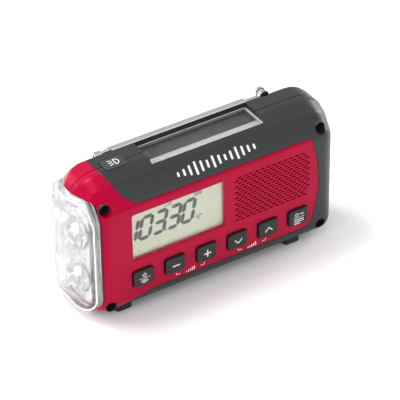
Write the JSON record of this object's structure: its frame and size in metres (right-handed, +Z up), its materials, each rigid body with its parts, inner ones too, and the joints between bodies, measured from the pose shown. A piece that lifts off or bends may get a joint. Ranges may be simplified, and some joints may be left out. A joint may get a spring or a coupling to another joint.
{
  "type": "emergency radio",
  "caption": "Hand-cranked emergency radio with side torch, top solar panel, telescopic aerial, segment display, front buttons and fold-out rear crank.",
  "frame": {"origin": "centre of the footprint, on the surface that the feet stand on", "axes": "+X along the length from the torch to the plain end, +Y from the front to the back, +Z up"},
  "size_m": [0.167, 0.0496, 0.0855],
  "materials": {
    "red_shell": "satin crimson moulded ABS",
    "charcoal_shell": "fine-textured charcoal ABS",
    "button_rubber": "soft matt rubber",
    "black_rubber": "matt rubber",
    "screw_steel": "plated steel",
    "clear_lens": "clear polycarbonate",
    "reflector_chrome": "vacuum-metallised",
    "led_emitter": "domed emitter",
    "white_board": "white coated board",
    "display_glass": "reflective liquid crystal",
    "circuit_board": "solder-masked board",
    "silicone_grey": "silicone",
    "speaker_fabric": "woven dust cloth",
    "speaker_steel": "zinc-plated steel",
    "speaker_paper": "treated paper",
    "magnet": "plated",
    "solar_silicon": "polycrystalline cells",
    "silver_print": "printed silver",
    "aerial_chrome": "polished chrome plate",
    "bush_steel": "turned",
    "gear_nylon": "natural nylon",
    "pinion_brass": "machined",
    "cell_wrap": "shrink wrap",
    "black_plastic": "moulded"
  },
  "bodies": {
    "housing": {"front_cover": "red_shell", "front_frame": "charcoal_shell", "rear_cover": "charcoal_shell", "rear_end_cover": "red_shell", "housing_screws": "screw_steel", "rubber_feet": "black_rubber", "torch_lens": "clear_lens", "lens_gasket": "black_rubber", "torch_reflector": "reflector_chrome", "torch_leds": "led_emitter", "torch_led_board": "white_board", "display_window": "clear_lens", "display_module": "display_glass", "display_backlight": "white_board", "main_board": "circuit_board", "keypad_mat": "silicone_grey", "torch_switch": "circuit_board", "speaker_cloth": "speaker_fabric", "speaker_basket": "speaker_steel", "speaker_cone": "speaker_paper", "speaker_magnet": "magnet", "solar_window": "clear_lens", "solar_cell": "solar_silicon", "solar_border": "silver_print", "antenna_base": "bush_steel", "antenna_clip": "black_rubber", "compound_axle": "screw_steel", "generator": "bush_steel", "gearbox_plate": "speaker_steel", "battery_cell": "cell_wrap", "battery_contacts": "screw_steel", "battery_cradle": "black_plastic", "battery_door_pin": "screw_steel", "usb_board": "circuit_board", "usb_sockets": "screw_steel"},
    "antenna_mount": {"antenna_swivel": "aerial_chrome", "antenna_hinge_pin": "screw_steel"},
    "antenna_tube": {"antenna_tube_1": "aerial_chrome"},
    "antenna_section_2": {"antenna_tube_2": "aerial_chrome"},
    "antenna_section_3": {"antenna_tube_3": "aerial_chrome"},
    "antenna_tip": {"antenna_rod": "aerial_chrome"},
    "crank": {"crank_disc": "charcoal_shell", "crank_shaft": "screw_steel", "drive_gear": "gear_nylon", "crank_hinge_pin": "screw_steel"},
    "crank_handle": {"crank_arm": "charcoal_shell", "crank_knob_pin": "screw_steel"},
    "crank_grip": {"crank_knob": "black_rubber"},
    "idler": {"compound_gear": "gear_nylon"},
    "generator_rotor": {"generator_pinion": "pinion_brass"},
    "battery_hatch": {"battery_door": "charcoal_shell"},
    "port_flap": {"port_cover": "black_rubber"},
    "torch_switch_button": {"torch_button": "button_rubber"},
    "band_button_cap": {"band_button": "button_rubber"},
    "volume_down_button_cap": {"volume_down_button": "button_rubber"},
    "volume_up_button_cap": {"volume_up_button": "button_rubber"},
    "tune_down_button_cap": {"tune_down_button": "button_rubber"},
    "tune_up_button_cap": {"tune_up_button": "button_rubber"},
    "menu_button_cap": {"menu_button": "button_rubber"}
  },
  "joints": [
    {"name": "band_button_press", "type": "slide", "parent": "housing", "child": "band_button_cap", "axis": [0, 1, 0], "range_m": [0, 0.0008], "stiffness_N_per_m": 600, "springref_m": -0.0005},
    {"name": "volume_down_button_press", "type": "slide", "parent": "housing", "child": "volume_down_button_cap", "axis": [0, 1, 0], "range_m": [0, 0.0008], "stiffness_N_per_m": 600, "springref_m": -0.0005},
    {"name": "volume_up_button_press", "type": "slide", "parent": "housing", "child": "volume_up_button_cap", "axis": [0, 1, 0], "range_m": [0, 0.0008], "stiffness_N_per_m": 600, "springref_m": -0.0005},
    {"name": "tune_down_button_press", "type": "slide", "parent": "housing", "child": "tune_down_button_cap", "axis": [0, 1, 0], "range_m": [0, 0.0008], "stiffness_N_per_m": 600, "springref_m": -0.0005},
    {"name": "tune_up_button_press", "type": "slide", "parent": "housing", "child": "tune_up_button_cap", "axis": [0, 1, 0], "range_m": [0, 0.0008], "stiffness_N_per_m": 600, "springref_m": -0.0005},
    {"name": "menu_button_press", "type": "slide", "parent": "housing", "child": "menu_button_cap", "axis": [0, 1, 0], "range_m": [0, 0.0008], "stiffness_N_per_m": 600, "springref_m": -0.0005},
    {"name": "torch_button_press", "type": "slide", "parent": "housing", "child": "torch_switch_button", "axis": [0, 0, -1], "range_m": [0, 0.0008], "stiffness_N_per_m": 600, "springref_m": -0.0005},
    {"name": "antenna_swivel_turn", "type": "hinge", "parent": "housing", "child": "antenna_mount", "pos_m": [0.053, 0.0136, 0.075], "axis": [0, 0, -1], "range_deg": [0, 135]},
    {"name": "antenna_tilt", "type": "hinge", "parent": "antenna_mount", "child": "antenna_tube", "pos_m": [0.053, 0.0136, 0.0826], "axis": [0, 1, 0], "range_deg": [0, 90]},
    {"name": "antenna_extend_1", "type": "slide", "parent": "antenna_tube", "child": "antenna_section_2", "axis": [-1, 0, 0], "range_m": [0, 0.075]},
    {"name": "antenna_extend_2", "type": "slide", "parent": "antenna_section_2", "child": "antenna_section_3", "axis": [-1, 0, 0], "range_m": [0, 0.075]},
    {"name": "antenna_extend_3", "type": "slide", "parent": "antenna_section_3", "child": "antenna_tip", "axis": [-1, 0, 0], "range_m": [0, 0.075]},
    {"name": "crank_turn", "type": "hinge", "parent": "housing", "child": "crank", "pos_m": [0.036, 0, 0.04], "axis": [0, 1, 0], "continuous": true},
    {"name": "crank_unfold", "type": "hinge", "parent": "crank", "child": "crank_handle", "pos_m": [0.036, 0.0228, 0.062], "axis": [1, 0, 0], "range_deg": [0, 180]},
    {"name": "crank_grip_spin", "type": "hinge", "parent": "crank_handle", "child": "crank_grip", "pos_m": [0.036, 0.014, 0.024], "axis": [0, 1, 0], "continuous": true},
    {"name": "idler_spin", "type": "hinge", "parent": "housing", "child": "idler", "pos_m": [0.01536, 0, 0.05445], "axis": [0, 1, 0], "continuous": true},
    {"name": "generator_spin", "type": "hinge", "parent": "housing", "child": "generator_rotor", "pos_m": [0.00036, 0, 0.05445], "axis": [0, 1, 0], "continuous": true},
    {"name": "battery_door_open", "type": "hinge", "parent": "housing", "child": "battery_hatch", "pos_m": [-0.026, 0.0217, 0.0111], "axis": [-1, 0, 0], "range_deg": [0, 100]},
    {"name": "port_cover_open", "type": "hinge", "parent": "housing", "child": "port_flap", "pos_m": [-0.034, 0.0232, 0.044], "axis": [-1, 0, 0], "range_deg": [0, 150]}
  ],
  "couplings": [
    {"joint": "idler_spin", "follows": "crank_turn", "ratio": -5},
    {"joint": "generator_spin", "follows": "crank_turn", "ratio": 20}
  ]
}
